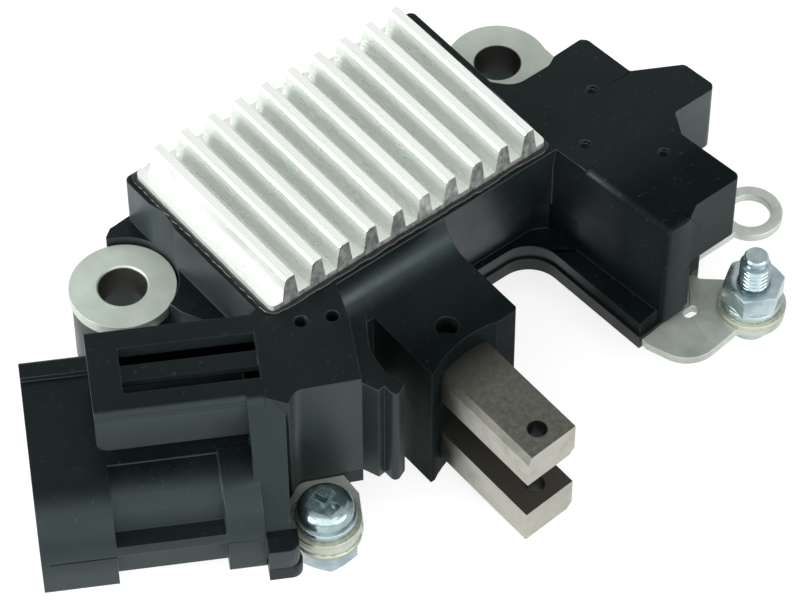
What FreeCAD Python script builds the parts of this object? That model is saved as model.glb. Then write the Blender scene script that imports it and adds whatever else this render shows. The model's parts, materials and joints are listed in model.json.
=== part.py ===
import FreeCAD, Part
import math
import os

# Alternator voltage regulator with its brush holder, heat sink and plug housing.
# X runs right and Y back. The origin lies midway between the two fixing ears, on their steel faces.
# Heights are given above the underside of the base layer, and moved down by ear_height when used.

SIZES = {
    # Fixing ears
    "ear_height": 11.7,
    "ear_span": 60.4,
    "ear_bore": 6.0,
    "ear_bore_chamfer": 0.3,
    "ear_disc": 13.5,
    "ear_steel": 1.6,
    "ear_sleeve": 8.4,
    "ear_sleeve_depth": 4.6,
    "ear_boss": 13.0,
    "ear_relief": 7.2,
    "ear_seat_gap": 0.3,
    "ear_plate_side": 6.5,
    "ear_plate_tail": 12.6,
    "ledge_height": 12.7,
    # Body box
    "body_left": 23.6,
    "body_right": 22.4,
    "body_back": 8.1,
    "body_front": 21.9,
    "body_corner": 0.9,
    "rim_height": 20.0,
    "base_height": 2.1,
    "wall_lean": 2.3,
    "ledge_top": 4.2,
    "ledge_inset": 0.3,
    "underside": 0.0,
    # Heat sink
    "sink_inset_front": 1.2,
    "sink_inset_back": 0.8,
    "sink_inset_right": 1.6,
    "sink_top": 21.0,
    "sink_plate": 2.0,
    "sink_corner": 0.8,
    "fin_count": 10,
    "fin_pitch": 4.16,
    "fin_height": 3.7,
    "fin_tip": 1.4,
    "fin_root": 2.5,
    "fin_edge": 0.25,
    "fin_first": 2.83,
    "fin_back_gap": 0.9,
    "bead_width": 0.5,
    "bead_rise": 0.35,
    # Circuit under the heat sink
    "cavity_depth": 1.8,
    "cavity_inset": 4.0,
    "substrate_gap": 1.5,
    "substrate_thick": 0.7,
    "chip_row": 4.0,
    "chip_thick": 0.6,
    "chip_side": 4.2,
    "transistor_side": 5.6,
    "chip_spread": 8.0,
    # Brushes
    "brush_centre": 4.935,
    "brush_width": 7.75,
    "brush_tall": 5.0,
    "brush_pitch": 11.0,
    "brush_low": -3.4,
    "brush_tip": 53.02,
    "brush_length": 23.5,
    "brush_skew": 0.6,
    "brush_chamfer_top": 0.55,
    "brush_chamfer_deep": 1.08,
    "brush_chamfer_under": 0.8,
    "brush_hole": 2.4,
    "brush_hole_back": 3.1,
    "brush_play": 0.15,
    "brush_travel": 17.2,
    # Brush block
    "block_left": 11.1,
    "block_right": 3.6,
    "block_front": 36.1,
    "block_front_left": 37.4,
    "block_lip": 0.6,
    "block_scoop_end": 3.6,
    "block_under": -6.1,
    "block_top": 15.7,
    "block_apron": 4.2,
    "block_end_wall": 2.4,
    "pin_hole": 2.9,
    # Spring, lead and contact behind each brush
    "spring_room": 3.4,
    "spring_wire": 0.5,
    "spring_coil": 3.9,
    "spring_turns": 6,
    "spring_runs": 11,
    "spring_sides": 5,
    "spring_play": 0.05,
    "lead_thick": 1.2,
    "contact_thick": 0.8,
    "contact_riser": 3.0,
    "contact_step": 2.0,
    "contact_tip": 0.5,
    # Plug housing, measured along (u) and across (v) the plug
    "plug_corner_x": -42.03,
    "plug_corner_y": -9.01,
    "plug_turn": 30.0,
    "plug_height": 11.8,
    "plug_mouth": 8.2,
    "plug_back": -3.7,
    "plug_front": 23.25,
    "plug_shoulder": 8.5,
    "plug_edge": 0.8,
    "plug_track_back": -0.9,
    "plug_track_front": 13.4,
    "plug_track": 0.7,
    "plug_seam": 5.4,
    "plug_seam_gap": 0.25,
    "plug_seam_depth": 0.5,
    "plug_root": -18.8,
    "plug_rib": -14.2,
    "plug_collar": -0.9,
    "plug_waist": 21.1,
    "plug_rail": 6.8,
    "waist_round": 6.6,
    "waist_centre": 14.0,
    "waist_centre_height": 4.4,
    "plug_wall": 1.8,
    "room_round": 5.4,
    "plug_floor": -12.0,
    "blade_width": 2.8,
    "blade_thick": 0.8,
    "blade_length": 15.0,
    "blade_embed": 4.0,
    "blade_spread": 5.6,
    "blade_count": 3,
    # Latch hood over the plug housing
    "hood_width": 12.9,
    "hood_under": 13.3,
    "hood_end": -20.2,
    "hood_root": -22.4,
    "hood_wall": 1.5,
    "hood_plate": 1.8,
    "hood_round": 1.2,
    "hood_nose": 1.4,
    "hood_bar_drop": 0.7,
    "flange_left": -18.2,
    "flange_right": -21.9,
    "foot_right": -22.7,
    "flange_foot": 21.8,
    "foot_front": 25.15,
    "foot_top": 5.4,
    "foot_round": 1.4,
    "slot_first": -3.8,
    "slot_last": -20.3,
    "slot_back_near": 2.9,
    "slot_back_far": 5.0,
    "slot_front_near": 7.4,
    "slot_front_far": 9.8,
    # Arm and star on the right
    "arm_relief": 9.3,
    "arm_left": 23.3,
    "arm_end": 41.0,
    "arm_round": 1.2,
    "arm_end_round": 0.7,
    "dimple": 1.5,
    "dimple_depth": 0.6,
    "platform_hole": 1.7,
    "platform_hole_depth": 6.0,
    "small_hole_sides": 12,
    "side_ledge_top": 19.2,
    # Terminal plates and their fasteners
    "plate_thick": 1.2,
    "plate_low": 0.5,
    "stud_plate_low": 0.3,
    "plate_end": 4.3,
    "screw_x": -28.4,
    "screw_y": -38.5,
    "stud_x": 34.7,
    "stud_y": -45.4,
    "ring_x": 45.1,
    "ring_y": -33.6,
    "ring_outer": 8.52,
    "ring_inner": 5.4,
    "strap_width": 3.0,
    "strap_tail": 30.5,
    "thread": 4.0,
    "thread_gap": 0.2,
    "nut_gap": 0.06,
    "nut_turn": 31,
    "washer": 8.8,
    "washer_thick": 0.8,
    "spring_washer": 7.6,
    "spring_washer_thick": 1.1,
    "washer_split": 0.6,
    "nut_flats": 7.0,
    "nut_height": 3.2,
    "screw_head": 6.9,
    "screw_head_height": 2.2,
    "screw_recess": 3.6,
    "screw_recess_wide": 0.9,
    "screw_recess_deep": 1.3,
    "screw_tail": 0.6,
    "stud_top": 11.3,
    "stud_head": 5.2,
    "stud_head_height": 3.2,
    "slot_from_stud": 6.7,
    "slot_back": 4.0,
    "slot_long": 2.1,
    "slot_wide": 1.3,
}

# Heights that follow from the sizes above
SIZES["ear_seat"] = SIZES["ear_height"] - SIZES["ear_steel"]
SIZES["sink_under"] = SIZES["sink_top"] - SIZES["sink_plate"]
SIZES["cavity_floor"] = SIZES["sink_under"] - SIZES["cavity_depth"]
SIZES["bead_top"] = SIZES["rim_height"] + SIZES["bead_rise"]
SIZES["substrate_low"] = SIZES["sink_under"] - SIZES["substrate_thick"]
SIZES["chip_low"] = SIZES["substrate_low"] - SIZES["chip_thick"]
SIZES["plate_top"] = SIZES["plate_low"] + SIZES["plate_thick"]
SIZES["stud_plate_top"] = SIZES["stud_plate_low"] + SIZES["plate_thick"]

doc = FreeCAD.newDocument("voltage_regulator")
sheet = doc.addObject("Spreadsheet::Sheet", "sizes")
for row, (alias, number) in enumerate(SIZES.items(), start=1):
    sheet.set(f"A{row}", alias.replace("_", " "))
    sheet.set(f"B{row}", str(number))
    sheet.setAlias(f"B{row}", alias)
doc.recompute()


# Shared helpers

def size(alias):
    return SIZES[alias]


def level(alias):
    # Height in the part's own frame of a height named in the sheet
    return size(alias) - size("ear_height")


def level_formula(alias, extra=""):
    return f"sizes.{alias}{extra} - sizes.ear_height"


def upright(origin, across):
    # Sketch frame with its x axis along "across" and its y axis up
    x_axis = FreeCAD.Vector(*across)
    y_axis = FreeCAD.Vector(0, 0, 1)
    turn = FreeCAD.Rotation(x_axis, y_axis, x_axis.cross(y_axis), "ZXY")
    return FreeCAD.Placement(FreeCAD.Vector(*origin), turn)


def outline(corners):
    # Closed run of straight edges with an arc at each corner that has a radius
    points = [FreeCAD.Vector(corner[0], corner[1], 0) for corner in corners]
    radii = [corner[2] if len(corner) > 2 else 0 for corner in corners]
    ends = []
    arcs = []
    for index, corner in enumerate(points):
        before = (points[index - 1] - corner).normalize()
        after = (points[(index + 1) % len(points)] - corner).normalize()
        radius = radii[index]
        if radius == 0:
            ends.append((corner, corner))
            continue
        half = before.getAngle(after) / 2
        reach = radius / math.tan(half)
        start = corner + before * reach
        finish = corner + after * reach
        middle = (before + after).normalize()
        crown = corner + middle * (radius / math.sin(half) - radius)
        ends.append((start, finish))
        arcs.append(Part.Arc(start, crown, finish))
    lines = []
    for index, (_, leaving) in enumerate(ends):
        arriving = ends[(index + 1) % len(ends)][0]
        if (arriving - leaving).Length > 1e-6:
            lines.append(Part.LineSegment(leaving, arriving))
    return lines + arcs


def circle(x, y, diameter):
    return [Part.Circle(FreeCAD.Vector(x, y, 0), FreeCAD.Vector(0, 0, 1), diameter / 2)]


def polygon(x, y, diameter, sides):
    turns = [2 * math.pi * side / sides for side in range(sides)]
    return outline([(x + diameter / 2 * math.cos(turn), y + diameter / 2 * math.sin(turn)) for turn in turns])


def new_body(label):
    body = doc.addObject("PartDesign::Body", label)
    body.Label = label
    return body


def sketch(body, name, edges, height=None, frame=None):
    drawing = body.newObject("Sketcher::SketchObject", name)
    planes = [item for item in body.Origin.OriginFeatures if item.Role == "XY_Plane"]
    drawing.AttachmentSupport = [(planes[0], "")]
    drawing.MapMode = "FlatFace"
    if frame is not None:
        drawing.AttachmentOffset = frame
    for edge in edges:
        drawing.addGeometry(edge, False)
    if height is not None:
        drawing.setExpression("AttachmentOffset.Base.z", height)
    drawing.Visibility = False
    return drawing


def extrusion(body, kind, name, drawing, length):
    feature = body.newObject("PartDesign::" + kind, name)
    feature.Profile = drawing
    feature.setExpression("Length", length)
    return feature


def pad(body, name, edges, low, high):
    # Adds the outline from one named height up to another
    drawing = sketch(body, name + "_outline", edges, level_formula(low))
    return extrusion(body, "Pad", name, drawing, f"sizes.{high} - sizes.{low}")


def pocket(body, name, edges, high, depth):
    # Cuts the outline downwards from a named height, by a formula for its depth
    drawing = sketch(body, name + "_outline", edges, level_formula(high))
    return cut_by(body, name, drawing, depth)


def pad_from(body, name, edges, frame, length):
    drawing = sketch(body, name + "_outline", edges, frame=frame)
    return extrusion(body, "Pad", name, drawing, length)


def cut_from(body, name, edges, frame, length):
    drawing = sketch(body, name + "_outline", edges, frame=frame)
    return cut_by(body, name, drawing, length)


def cut_by(body, name, drawing, length):
    doc.recompute()
    before = body.Shape.Volume
    feature = extrusion(body, "Pocket", name, drawing, length)
    doc.recompute()
    if body.Shape.Volume > before - 1e-3:
        raise RuntimeError(f"{name} removes nothing from {body.Label}")
    return feature


def place(body, x, y, height):
    # Moves a piece that is drawn about its own axis to its place on the part
    body.setExpression("Placement.Base.x", x)
    body.setExpression("Placement.Base.y", y)
    body.setExpression("Placement.Base.z", height)


def turned(label, corners):
    # Piece of revolution about the vertical, from corners of radius and height
    body = new_body(label)
    drawing = sketch(body, label + "_section", outline(corners), frame=upright((0, 0, 0), (1, 0, 0)))
    feature = body.newObject("PartDesign::Revolution", label + "_turn")
    feature.Profile = drawing
    feature.ReferenceAxis = (drawing, ["V_Axis"])
    feature.Angle = 360
    return body


# Plan outlines that several pieces share

PLUG_U = (-math.cos(math.radians(size("plug_turn"))), math.sin(math.radians(size("plug_turn"))))
PLUG_V = (-PLUG_U[1], PLUG_U[0])


def plug_point(u, v):
    x = size("plug_corner_x") + u * PLUG_U[0] + v * PLUG_V[0]
    y = size("plug_corner_y") + u * PLUG_U[1] + v * PLUG_V[1]
    return x, y


def plug_outline(corners):
    # Outline from corners measured along and across the plug
    return outline([plug_point(*corner[:2]) + tuple(corner[2:]) for corner in corners])


def plug_frame(u, low="underside"):
    # Upright sketch frame across the plug, whose cuts run away from the mouth
    return upright((*plug_point(u, 0), level(low)), (*PLUG_V, 0))


def box_corners(left, front, right, back, radius=0):
    return [(left, front, radius), (right, front, radius), (right, back, radius), (left, back, radius)]


def body_outline(front=0, right=0, back=0, radius=0):
    # Plan of the body box, set in at its left and front, at its right and at its back
    return outline(box_corners(-size("body_left") + front, -size("body_front") + front,
                               size("body_right") - right, size("body_back") - back, radius))


def sink_outline(extra=0):
    return body_outline(size("sink_inset_front") - extra, size("sink_inset_right") - extra,
                        size("sink_inset_back") - extra, size("sink_corner") + extra)


def cavity_outline(gap=0):
    inset = size("cavity_inset") + gap
    return body_outline(inset, inset, inset)


EAR_X = size("ear_span") / 2
BLOCK_END = -size("brush_tip") + size("brush_length") + size("brush_travel") + size("spring_room")
BLOCK_BACK = BLOCK_END + size("contact_thick") + size("contact_step") + size("block_end_wall")
WASHER_SEAT = (size("stud_x"), size("stud_y"))

# Front edge of the platform beside the latch: a hollow, then a wall turned in
PLATFORM_FRONT = [(-29.3, -32.9), (-27.5, -31.8, 1.8), (-20.2, -35.4)]
PLATFORM_RIGHT = [(-15.7, -27.4), (-13.5, -22.0)]
SIDE_LEDGE = [(-19.4, -37.5), (-18.4, -37.4), (-18.4, -39.6, 0.7), (-16.3, -38.7), (-16.9, -35.6),
              (-16.3, -32.0, 2.0), (-15.0, -30.0, 2.0), (-13.0, -27.1)]

# Lower part of the arm, set back from the top so that its terminals have room
ARM_LOWER_RIGHT = [(34.4, -9.6, 0.8), (34.6, -18.6), (40.9, -22.2, 0.8), (41.2, -24.8, 0.8),
                   (34.9, -25.1), (33.2, -29.6), (33.9, -36.8, 0.8), (28.8, -37.0)]
ARM_FRONT = [(27.0, -size("arm_end") + 0.05), (size("arm_left"), -size("arm_end"), 0.9)]
ARM_LEFT = (21.9, -26.2)

# Edge of the ledge round the bay beside the brushes
BAY_CORNER = (18.75, -21.2)
BAY_END = (19.8, -40.9)


# Housing: one black moulding with the body, plug housing, latch hood, brush block and arm

def round_top_edge(body, name, start, finish, radius):
    # Rounds a straight top edge; the outside lies to the right of the way from start to finish
    along = (FreeCAD.Vector(*finish, 0) - FreeCAD.Vector(*start, 0)).normalize()
    across = (along.y, -along.x, 0)
    frame = upright((*start, level("rim_height")), across)
    r = size(radius)
    crown = r * (math.sqrt(0.5) - 1)
    begin, end = FreeCAD.Vector(-r, 0, 0), FreeCAD.Vector(0, -r, 0)
    walk = [end, FreeCAD.Vector(1, -r, 0), FreeCAD.Vector(1, 1, 0), FreeCAD.Vector(-r, 1, 0), begin]
    edges = [Part.Arc(begin, FreeCAD.Vector(crown, crown, 0), end)]
    edges += [Part.LineSegment(near, far) for near, far in zip(walk, walk[1:])]
    length = math.dist(start, finish)
    cut_from(body, name, edges, frame, f"{length} mm")


def add_body_box(housing):
    pad(housing, "body_box", body_outline(radius=size("body_corner")), "base_height", "rim_height")
    # The front wall leans in towards its foot, on the right of the brush block
    rise = size("rim_height") - size("base_height")
    front = -size("body_front")
    lean = outline([(front - 1, 0), (front + size("wall_lean"), 0), (front, rise), (front - 1, rise)])
    frame = upright((size("body_right") + 1, 0, level("base_height")), (0, 1, 0))
    cut_from(housing, "front_wall_lean", lean, frame, "sizes.body_right + 1 - sizes.block_right")
    # Ledge at the foot of the wall, all round the bay
    inset = size("ledge_inset")
    x, y = BAY_CORNER
    ledge = outline([(size("block_right") - 1, y + inset), (x + inset, y + inset, 4.8),
                     (BAY_END[0] + inset, BAY_END[1] + inset), (24.0, -40.0), (24.0, -18.0),
                     (size("block_right") - 1, -18.0)])
    pad(housing, "bay_ledge", ledge, "base_height", "ledge_top")


def add_arm(housing):
    top = outline([(18.0, -6.8), (21.5, -6.8), (24.4, -10.3, 3.4), (30.0, -10.3, 1.5), (31.5, -9.5, 1.5),
                   (36.7, -9.3, 1.2), (37.4, -17.5, 0.5), (43.6, -21.0, 0.9), (44.2, -26.5, 1.1),
                   (37.2, -26.5, 0.6), (35.4, -29.8), (36.5, -39.7, 0.9), (29.0, -39.8),
                   *ARM_FRONT, (*ARM_LEFT, 4.0), (21.4, -21.5), (18.0, -20.0)])
    pad(housing, "arm_top", top, "arm_relief", "rim_height")
    lower = [(18.0, -9.2), *ARM_LOWER_RIGHT, (28.6, -40.0), *ARM_FRONT, (*ARM_LEFT, 4.0), (21.4, -21.0),
             (18.0, -19.0)]
    pad(housing, "arm_lower", outline(lower), "base_height", "arm_relief")
    corner = (size("arm_left"), -size("arm_end"))
    round_top_edge(housing, "arm_left_round", (ARM_LEFT[0] + 0.05, ARM_LEFT[1] - 0.8), corner, "arm_round")
    round_top_edge(housing, "arm_end_round_cut", corner, (27.0, -size("arm_end")), "arm_end_round")


def add_plug_housing(housing):
    back, front, tall = size("plug_back"), size("plug_front"), size("plug_height")
    section = outline([(back, 0, size("plug_edge")), (front, 0, size("plug_edge")),
                       (front, tall, size("plug_shoulder")), (back, tall, size("plug_edge"))])
    pad_from(housing, "plug_shell", section, plug_frame(size("plug_root")),
             "sizes.plug_mouth - sizes.plug_root")
    root = plug_outline([(size("plug_root") + 0.5, back + 2.5), (size("hood_root"), 0),
                         (size("hood_root"), size("hood_width")), (size("plug_root") + 0.5, size("hood_width"))])
    pad(housing, "plug_root_block", root, "base_height", "plug_height")
    # Track under the hood for the latch of a plug
    track = outline(box_corners(size("plug_track_back"), tall - size("plug_track"), size("plug_track_front"),
                                tall + 1))
    cut_from(housing, "latch_track", track, plug_frame(size("plug_mouth") + 1),
             "sizes.plug_mouth + 1 - sizes.plug_root")


def add_flange(housing):
    # Sloping flange at the plug's root, which stands on a short foot
    wide = size("hood_width")
    slope = outline([(wide - 1, size("base_height")), (size("flange_foot"), size("base_height")),
                     (size("flange_foot"), size("foot_top")), (wide, size("rim_height")),
                     (wide - 1, size("rim_height"))])
    pad_from(housing, "root_flange", slope, plug_frame(size("flange_right")),
             "sizes.flange_left - sizes.flange_right")
    foot = plug_outline([(size("flange_left"), size("flange_foot") - 1.5),
                         (size("flange_right"), size("flange_foot") - 1.5),
                         (size("flange_right"), size("flange_foot")), (size("foot_right"), size("flange_foot")),
                         (size("foot_right"), size("foot_front"), size("foot_round")),
                         (size("plug_root"), size("foot_front")), (size("plug_root"), size("plug_front") - 1),
                         (size("flange_left"), size("plug_front") - 1)])
    pad(housing, "root_foot", foot, "base_height", "foot_top")


def add_platform(housing):
    left = [plug_point(size("hood_end"), 0), plug_point(size("hood_end"), size("hood_width"))]
    inner = [(-12.8, -18.0), (-21.0, -18.0)]
    pad(housing, "platform", outline(left + PLATFORM_FRONT + PLATFORM_RIGHT + inner),
        "base_height", "rim_height")
    ledge = [PLATFORM_FRONT[-1], *SIDE_LEDGE, (-14.5, -26.8), (-17.0, -26.0)]
    pad(housing, "side_ledge", outline(ledge), "base_height", "side_ledge_top")


def add_hood(housing):
    hood = plug_outline([(0, 0), (size("hood_root"), 0), (size("hood_root"), size("hood_width")),
                         (0, size("hood_width"))])
    pad(housing, "latch_hood", hood, "hood_under", "rim_height")


def cut_hood(housing):
    # Room under the hood for the latch of a plug, open towards the mouth and the front
    wide = size("hood_width")
    tall = size("rim_height") - size("hood_plate") - size("hood_under")
    inside = outline(box_corners(size("hood_wall"), 0, wide - size("hood_wall"), tall))
    cut_from(housing, "latch_room", inside, plug_frame(1, "hood_under"), "1 - sizes.hood_end")
    gap = outline(box_corners(size("hood_wall"), size("plug_height"), size("plug_front"), size("hood_under")))
    cut_from(housing, "latch_gap", gap, plug_frame(1), "1 - sizes.hood_end")
    # One window in the hood, with a lower bar along its middle
    window = box_corners(size("slot_first"), size("slot_back_near"), size("slot_last"), size("slot_front_far"))
    pocket(housing, "latch_window", plug_outline(window), "rim_height", "sizes.hood_bar_drop")
    for name, near, far in (("latch_slot_back", "slot_back_near", "slot_back_far"),
                            ("latch_slot_front", "slot_front_near", "slot_front_far")):
        slot = plug_outline(box_corners(size("slot_first"), size(near), size("slot_last"), size(far)))
        pocket(housing, name, slot, "rim_height", "sizes.hood_plate + 0.2")
    # Rounded top edge, and rounded lower corner of the front wall at the mouth
    round_top_edge(housing, "hood_front_round", plug_point(0.5, wide), plug_point(size("hood_end"), wide),
                   "hood_round")
    nose = size("hood_nose")
    bend = nose * (1 - math.sqrt(0.5))
    begin, end = FreeCAD.Vector(-nose, 0, 0), FreeCAD.Vector(0, nose, 0)
    walk = [end, FreeCAD.Vector(1, nose, 0), FreeCAD.Vector(1, -1, 0), FreeCAD.Vector(-nose, -1, 0), begin]
    edges = [Part.Arc(begin, FreeCAD.Vector(-bend, bend, 0), end)]
    edges += [Part.LineSegment(near, far) for near, far in zip(walk, walk[1:])]
    start = plug_point(0, wide - size("hood_wall") - 0.5)
    cut_from(housing, "hood_nose_round", edges, upright((*start, level("hood_under")), (*PLUG_U, 0)),
             "sizes.hood_wall + 1")


def add_ears(housing):
    ledge = outline([(-22.0, 8.0), (-26.4, 7.9), (-27.7, 7.0, 0.7), (-28.0, 5.6), (-28.0, -5.6),
                     (-27.5, -8.6, 0.8), (-25.6, -12.6), (-22.0, -14.0)])
    pad(housing, "left_ledge", ledge, "base_height", "ledge_height")
    web = outline([(21.0, 5.6), (EAR_X, 6.1), (EAR_X, -8.0), (21.0, -8.0)])
    pad(housing, "right_web", web, "base_height", "ear_seat")
    for name, x in (("left", -EAR_X), ("right", EAR_X)):
        pad(housing, name + "_boss", circle(x, 0, size("ear_boss")), "underside", "ear_seat")
    seat = circle(-EAR_X, 0, size("ear_disc") + 2 * size("ear_seat_gap"))
    pocket(housing, "left_seat", seat, "rim_height", "sizes.rim_height - sizes.ear_seat")
    pocket(housing, "right_seat", right_ear_outline(size("ear_seat_gap")), "ear_height",
           "sizes.ear_height - sizes.ear_seat")
    for name, x in (("left", -EAR_X), ("right", EAR_X)):
        sleeve = circle(x, 0, size("ear_sleeve"))
        pocket(housing, name + "_sleeve_bore", sleeve, "ear_seat",
               "sizes.ear_sleeve_depth - sizes.ear_steel")
        relief = circle(x, 0, size("ear_relief"))
        pocket(housing, name + "_relief_bore", relief, "ear_seat",
               "sizes.ear_seat - sizes.underside")


def right_ear_outline(gap=0):
    # Round steel ear with a tail that runs in under the arm
    radius = size("ear_disc") / 2 + gap
    side = size("ear_plate_side") + gap
    drop = math.sqrt(radius ** 2 - side ** 2)
    centre = FreeCAD.Vector(EAR_X, 0, 0)
    right = centre + FreeCAD.Vector(side, -drop, 0)
    left = centre + FreeCAD.Vector(-side, -drop, 0)
    top = centre + FreeCAD.Vector(0, radius, 0)
    tail = FreeCAD.Vector(0, -size("ear_plate_tail") - gap + drop, 0)
    return [Part.Arc(right, top, left), Part.LineSegment(left, left + tail),
            Part.LineSegment(left + tail, right + tail), Part.LineSegment(right + tail, right)]


def add_brush_block(housing):
    left, right = -size("block_left"), size("block_right")
    front, front_left = -size("block_front"), -size("block_front_left")
    scoop_right = right - size("block_scoop_end")
    corner = FreeCAD.Vector(left, front_left, 0)
    lip = FreeCAD.Vector(left + size("block_lip"), front_left, 0)
    scoop_middle = FreeCAD.Vector(-size("brush_centre") - 1.2, front + 0.32, 0)
    scoop_end = FreeCAD.Vector(scoop_right, front + 0.1, 0)
    edges = [Part.LineSegment(corner, lip), Part.Arc(lip, scoop_middle, scoop_end)]
    walk = [scoop_end, FreeCAD.Vector(scoop_right, front, 0), FreeCAD.Vector(right - 0.5, front, 0),
            FreeCAD.Vector(right, front + 0.5, 0), FreeCAD.Vector(right, BLOCK_BACK, 0),
            FreeCAD.Vector(left, BLOCK_BACK, 0), corner]
    edges += [Part.LineSegment(start, finish) for start, finish in zip(walk, walk[1:])]
    pad(housing, "brush_block", edges, "block_under", "block_top")
    # Hollow round from the rim's front wall onto the block
    radius = size("block_apron")
    top = size("rim_height") - size("base_height")
    foot = size("block_top") - size("base_height")
    front_wall = -size("body_front")
    bend = radius * (1 - math.sqrt(0.5))
    begin = FreeCAD.Vector(front_wall, foot + radius, 0)
    end = FreeCAD.Vector(front_wall - radius, foot, 0)
    walk = [end, FreeCAD.Vector(end.x, 0, 0), FreeCAD.Vector(front_wall + 2, 0, 0),
            FreeCAD.Vector(front_wall + 2, top, 0), FreeCAD.Vector(front_wall, top, 0)]
    if top > foot + radius + 1e-6:
        walk.append(begin)
    apron = [Part.Arc(walk[-1], FreeCAD.Vector(front_wall - bend, foot + bend, 0), end)]
    apron += [Part.LineSegment(near, far) for near, far in zip(walk, walk[1:])]
    frame = upright((PLATFORM_RIGHT[0][0], 0, level("base_height")), (0, 1, 0))
    pad_from(housing, "block_apron_fill", apron, frame, f"{right - PLATFORM_RIGHT[0][0]} mm")


def brush_heights():
    return (("lower", 0), ("upper", size("brush_pitch")))


def brush_section(grow=0):
    half = size("brush_width") / 2 + grow
    return half, size("brush_tall") + 2 * grow


def cut_channels(housing):
    # One blind channel behind each brush, with room for its spring and contact
    half, tall = brush_section(size("brush_play"))
    for name, lift in brush_heights():
        floor = level("brush_low") + lift - size("brush_play")
        frame = upright((-size("brush_centre"), -size("block_front_left") - 1, floor), (1, 0, 0))
        depth = BLOCK_END + size("contact_thick") + size("block_front_left") + 1
        if name == "lower":
            depth += size("contact_step")
        channel = outline(box_corners(-half, 0, half, tall))
        cut_from(housing, name + "_channel", channel, frame, f"{depth} mm")
    pin = circle(-size("brush_centre"), pin_hole_y(), size("pin_hole"))
    pocket(housing, "pin_hole_bore", pin, "block_top", "sizes.block_top - sizes.brush_low")


def pin_hole_y():
    # The brush holes come into line with the pin hole when both brushes are pushed in
    return -size("brush_tip") + size("brush_hole_back") + size("brush_travel")


def riser_box(name):
    # Plan of the strip that rises from a brush contact to the circuit
    front = BLOCK_END if name == "upper" else BLOCK_END + size("contact_step")
    middle = -size("brush_centre")
    half = size("contact_riser") / 2
    return box_corners(middle - half, front, middle + half, front + size("contact_thick"))


def cut_circuit_room(housing):
    recess = sink_outline(size("bead_width"))
    pocket(housing, "sink_recess", recess, "rim_height", "sizes.rim_height - sizes.sink_top + sizes.sink_plate")
    pocket(housing, "circuit_room", cavity_outline(), "sink_under",
           "sizes.cavity_depth")
    for name, lift in brush_heights():
        depth = size("cavity_floor") - size("brush_low") - lift - size("brush_tall") - size("brush_play")
        pocket(housing, name + "_riser_slot", outline(riser_box(name)), "cavity_floor", f"{depth} mm")


def cut_plug_room(housing):
    wall = size("plug_wall")
    low, high = size("plug_back") + wall, size("plug_waist") - wall
    roof = size("plug_height") - wall
    room = outline([(low, wall), (high, wall), (high, roof, size("room_round")), (low, roof)])
    cut_from(housing, "plug_room", room, plug_frame(size("plug_mouth")), "sizes.plug_mouth - sizes.plug_floor")
    for blade in blade_boxes():
        cut_from(housing, "blade_slot", outline(blade), plug_frame(size("plug_floor") + 0.5),
                 "sizes.blade_embed + 0.5")


def cut_waist(housing):
    # Hollow in the plug's front between the collar and the rib, down to a rail
    middle, height, radius = size("waist_centre"), size("waist_centre_height"), size("waist_round")
    rail = size("plug_rail")
    last = math.asin((rail - height) / radius)
    bend = (math.pi / 2 + last) / 2
    begin = FreeCAD.Vector(middle, height + radius, 0)
    crown = FreeCAD.Vector(middle + radius * math.cos(bend), height + radius * math.sin(bend), 0)
    end = FreeCAD.Vector(middle + radius * math.cos(last), rail, 0)
    out = size("plug_front") + 1
    over = size("plug_height") + 1
    walk = [end, FreeCAD.Vector(out, rail, 0), FreeCAD.Vector(out, over, 0),
            FreeCAD.Vector(size("plug_track_front"), over, 0),
            FreeCAD.Vector(size("plug_track_front"), begin.y, 0), begin]
    edges = [Part.Arc(begin, crown, end)]
    edges += [Part.LineSegment(near, far) for near, far in zip(walk, walk[1:])]
    collar = plug_frame(size("plug_collar"))
    cut_from(housing, "plug_waist_cut", edges, collar, "sizes.plug_collar - sizes.plug_rib")
    under = outline(box_corners(size("plug_waist"), -1, out, size("plug_seam")))
    cut_from(housing, "plug_under_cut", under, collar, "sizes.plug_collar - sizes.plug_rib")
    # Thin seam line along the plug's front
    seam = outline(box_corners(size("plug_front") - size("plug_seam_depth"), size("plug_seam"), out,
                               size("plug_seam") + size("plug_seam_gap")))
    cut_from(housing, "plug_seam_cut", seam, plug_frame(size("plug_mouth") - 1),
             "sizes.plug_mouth - 1.4 - sizes.plug_root")


def blade_boxes():
    middle = (size("plug_back") + size("plug_front")) / 2
    height = size("plug_height") / 2
    boxes = []
    for index in range(size("blade_count")):
        centre = middle + (index - (size("blade_count") - 1) / 2) * size("blade_spread")
        boxes.append(box_corners(centre - size("blade_width") / 2, height - size("blade_thick") / 2,
                                 centre + size("blade_width") / 2, height + size("blade_thick") / 2))
    return boxes


def cut_small_marks(housing):
    for x, y in ((31.5, -17.0), (24.8, -23.5), (31.6, -30.7)):
        dimple = polygon(x, y, size("dimple"), size("small_hole_sides"))
        pocket(housing, "ejector_dimple", dimple, "rim_height", "sizes.dimple_depth")
    for x, y in ((-20.4, -23.8), (-16.95, -25.5)):
        hole = polygon(x, y, size("platform_hole"), size("small_hole_sides"))
        pocket(housing, "platform_hole_bore", hole, "rim_height", "sizes.platform_hole_depth")


def make_housing():
    housing = new_body("housing")
    add_body_box(housing)
    add_arm(housing)
    add_platform(housing)
    add_plug_housing(housing)
    add_flange(housing)
    add_hood(housing)
    cut_hood(housing)
    add_brush_block(housing)
    add_ears(housing)
    cut_circuit_room(housing)
    cut_channels(housing)
    cut_plug_room(housing)
    cut_waist(housing)
    cut_small_marks(housing)
    return housing


# Base layer: the lower black layer that carries the terminal plates

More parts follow.
